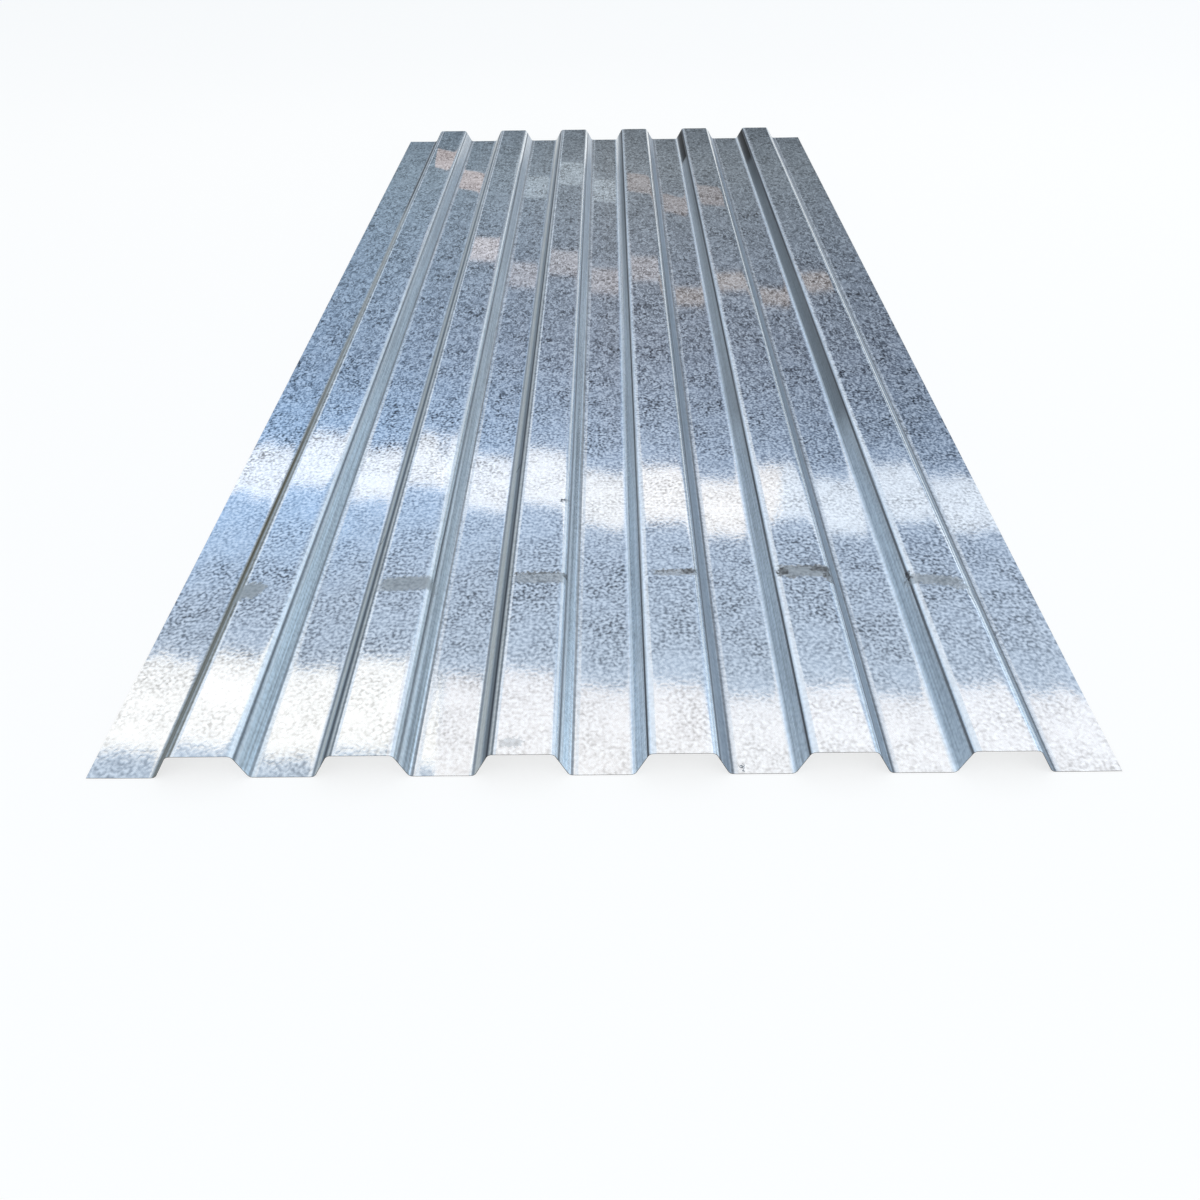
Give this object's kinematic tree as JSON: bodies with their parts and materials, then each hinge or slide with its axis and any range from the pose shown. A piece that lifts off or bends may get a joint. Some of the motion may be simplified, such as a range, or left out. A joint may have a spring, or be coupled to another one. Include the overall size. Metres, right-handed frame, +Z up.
{
  "type": "corrugated metal sheet",
  "caption": "Galvanised steel sheet roll-formed into flat-topped trapezoidal ribs, with a plain flat at each side for the side lap.",
  "frame": {"origin": "centre of the sheet's length and width, level with the undersides of the pans that it lies on", "axes": "+Y along the ribs, +Z up out of the crests, +X across the ribs"},
  "size_m": [0.9686, 2.44, 0.0255],
  "materials": {
    "galvanised_steel": "satin"
  },
  "bodies": {
    "root": {"corrugated_sheet": "galvanised_steel"}
  },
  "joints": []
}
